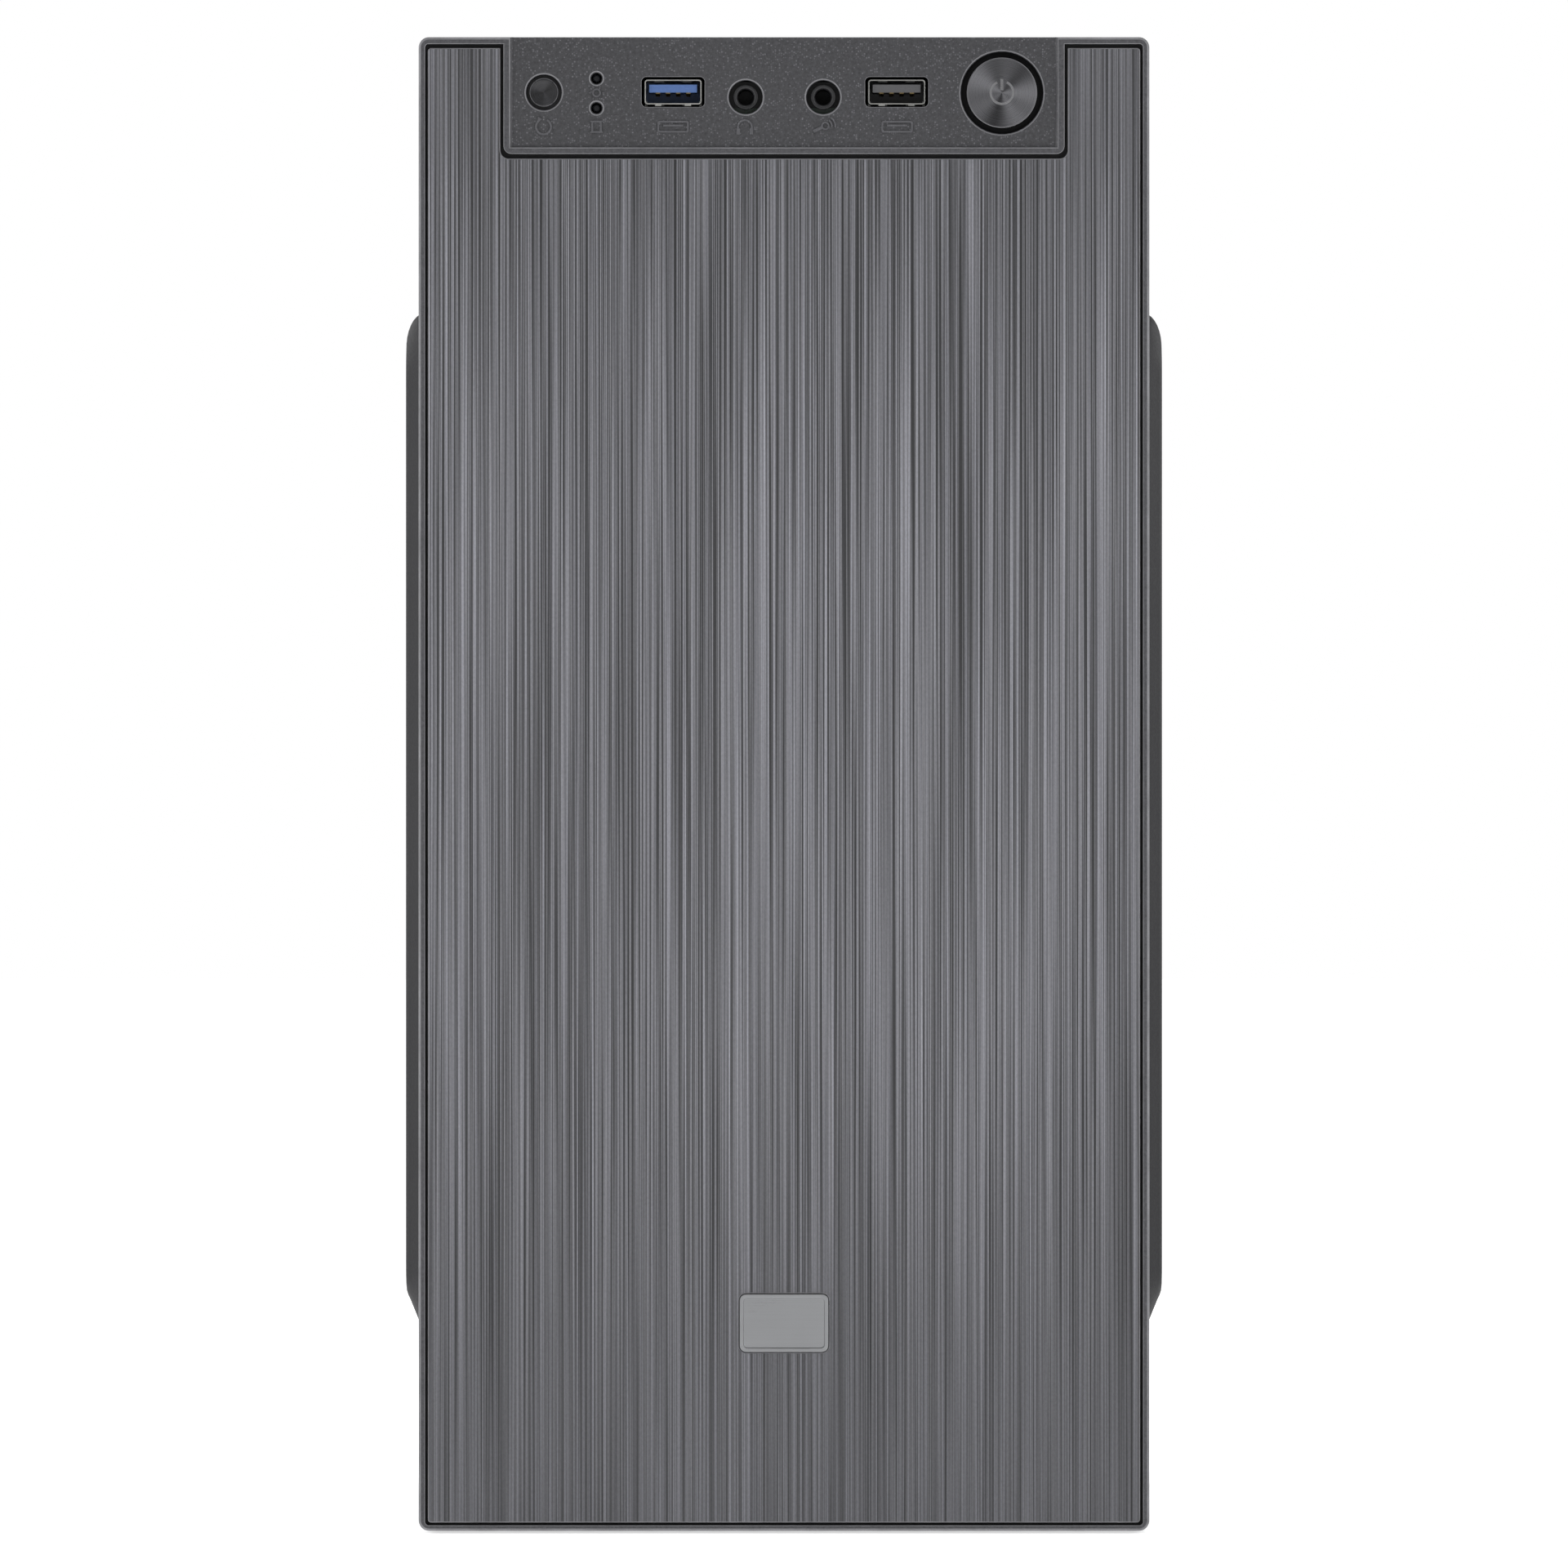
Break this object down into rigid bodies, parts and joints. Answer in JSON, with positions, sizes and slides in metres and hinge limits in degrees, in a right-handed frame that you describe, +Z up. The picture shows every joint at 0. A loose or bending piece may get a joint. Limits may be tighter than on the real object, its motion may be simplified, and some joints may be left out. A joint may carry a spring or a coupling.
{
  "type": "desktop computer tower",
  "caption": "Slim upright desktop computer with a brushed front insert, a top port strip with round buttons, bulged sliding side panels and fitted working parts inside.",
  "frame": {"origin": "centre of the footprint box on the floor, under the feet", "axes": "+Z up, +X to the right seen from the front, the front faces -Y"},
  "size_m": [0.176, 0.38, 0.344],
  "materials": {
    "bezel_plastic": "fine textured black-grey moulding",
    "brushed_insert": "hairline-brushed dark grey, satin",
    "badge_metal": "satin blank nameplate",
    "button_spun": "radially spun dark grey",
    "button_gloss": "dished glossy moulding",
    "black_plastic": "moulded black",
    "smoked_lens": "smoked indicator lens",
    "circuit_green": "solder mask",
    "circuit_black": "dark solder mask",
    "nickel_shell": "nickel-plated stamping",
    "port_blue": "blue moulding",
    "contact_gold": "gold-plated contact",
    "red_plastic": "moulded plunger",
    "spring_steel": "bright wire",
    "chassis_steel": "black powder-coated sheet",
    "panel_steel": "dark grey fine-textured paint on sheet steel",
    "foot_rubber": "moulded foot",
    "screw_black": "black oxide",
    "screw_zinc": "zinc-plated",
    "shield_steel": "stamped tinplate",
    "brass_standoff": "turned",
    "jack_green": "coloured jack body",
    "memory_green": "memory board",
    "latch_white": "nylon latch",
    "header_nylon": "natural nylon header",
    "heatsink_alu": "extruded fins",
    "chipset_alu": "anodised fins",
    "capacitor_can": "sleeved cans",
    "socket_metal": "nickel-plated lid and frame",
    "fan_black": "moulded fan",
    "psu_steel": "dark coated sheet",
    "psu_circuit": "power board",
    "guard_chrome": "plated wire",
    "drive_casting": "cast and machined",
    "cable_black": "sleeved leads",
    "cable_red": "insulated lead"
  },
  "bodies": {
    "tower": {"front_bezel": "bezel_plastic", "front_insert": "brushed_insert", "badge_plate": "badge_metal", "indicator_leds": "smoked_lens", "front_boards": "circuit_green", "usb_port_shells": "nickel_shell", "usb_tongue_blue": "port_blue", "usb_tongue_black": "black_plastic", "usb_contacts": "contact_gold", "audio_jacks": "black_plastic", "power_spring": "spring_steel", "reset_spring": "spring_steel", "button_switches": "black_plastic", "chassis_base": "chassis_steel", "chassis_top": "chassis_steel", "chassis_front": "chassis_steel", "chassis_rear": "chassis_steel", "motherboard_tray": "chassis_steel", "drive_bracket": "chassis_steel", "feet": "foot_rubber", "slot_covers": "chassis_steel", "chassis_screws": "screw_zinc", "io_shield": "shield_steel", "motherboard": "circuit_black", "board_standoffs": "brass_standoff", "rear_ports": "nickel_shell", "rear_audio_jacks": "jack_green", "memory_slots": "black_plastic", "memory_modules": "memory_green", "expansion_slots": "black_plastic", "board_connectors": "header_nylon", "chipset_heatsink": "chipset_alu", "board_capacitors": "capacitor_can", "processor_socket": "socket_metal", "cpu_heatsink": "heatsink_alu", "cpu_fan_frame": "fan_black", "psu_housing": "psu_steel", "psu_board": "psu_circuit", "psu_fan_frame": "fan_black", "psu_fan_guard": "guard_chrome", "psu_inlet": "black_plastic", "rear_fan_frame": "fan_black", "hard_drive": "drive_casting", "cable_plugs": "black_plastic", "power_cables": "cable_black", "signal_cables": "cable_red"},
    "power_button": {"power_button": "button_spun", "power_plunger": "red_plastic"},
    "reset_button": {"reset_button": "button_gloss", "reset_plunger": "red_plastic"},
    "left_panel": {"left_side_panel": "panel_steel", "left_panel_screws": "screw_black"},
    "right_panel": {"right_side_panel": "panel_steel", "right_panel_screws": "screw_black"},
    "memory_latch_front": {"memory_latch_front": "latch_white"},
    "memory_latch_rear": {"memory_latch_rear": "latch_white"},
    "cpu_fan": {"cpu_fan_rotor": "fan_black"},
    "rear_fan": {"rear_fan_rotor": "fan_black"},
    "psu_fan": {"psu_fan_rotor": "fan_black"},
    "psu_rocker": {"psu_rocker": "black_plastic"}
  },
  "joints": [
    {"name": "power_button_press", "type": "slide", "parent": "tower", "child": "power_button", "axis": [0, 1, 0], "range_m": [0, 0.0015], "stiffness_N_per_m": 400, "springref_m": -0.002, "deforming": ["power_spring"]},
    {"name": "reset_button_press", "type": "slide", "parent": "tower", "child": "reset_button", "axis": [0, 1, 0], "range_m": [0, 0.0012], "stiffness_N_per_m": 400, "springref_m": -0.002, "deforming": ["reset_spring"]},
    {"name": "left_panel_slide", "type": "slide", "parent": "tower", "child": "left_panel", "axis": [0, 1, 0], "range_m": [0, 0.345]},
    {"name": "right_panel_slide", "type": "slide", "parent": "tower", "child": "right_panel", "axis": [0, 1, 0], "range_m": [0, 0.345]},
    {"name": "rear_fan_spin", "type": "hinge", "parent": "tower", "child": "rear_fan", "pos_m": [-0.027, 0.1712, 0.2], "axis": [0, 1, 0], "continuous": true},
    {"name": "cpu_fan_spin", "type": "hinge", "parent": "tower", "child": "cpu_fan", "pos_m": [0.004, 0.098, 0.184], "axis": [1, 0, 0], "continuous": true},
    {"name": "psu_fan_spin", "type": "hinge", "parent": "tower", "child": "psu_fan", "pos_m": [0, 0.1132, 0.2682], "axis": [0, 0, 1], "continuous": true},
    {"name": "psu_rocker_tilt", "type": "hinge", "parent": "tower", "child": "psu_rocker", "pos_m": [-0.0235, 0.1806, 0.2962], "axis": [1, 0, 0], "range_deg": [0, 14]},
    {"name": "memory_latch_front_open", "type": "hinge", "parent": "tower", "child": "memory_latch_front", "pos_m": [0.0584, 0.02, 0.2485], "axis": [0, 1, 0], "range_deg": [0, 30]},
    {"name": "memory_latch_rear_open", "type": "hinge", "parent": "tower", "child": "memory_latch_rear", "pos_m": [0.0584, 0.03, 0.2485], "axis": [0, 1, 0], "range_deg": [0, 30]}
  ]
}
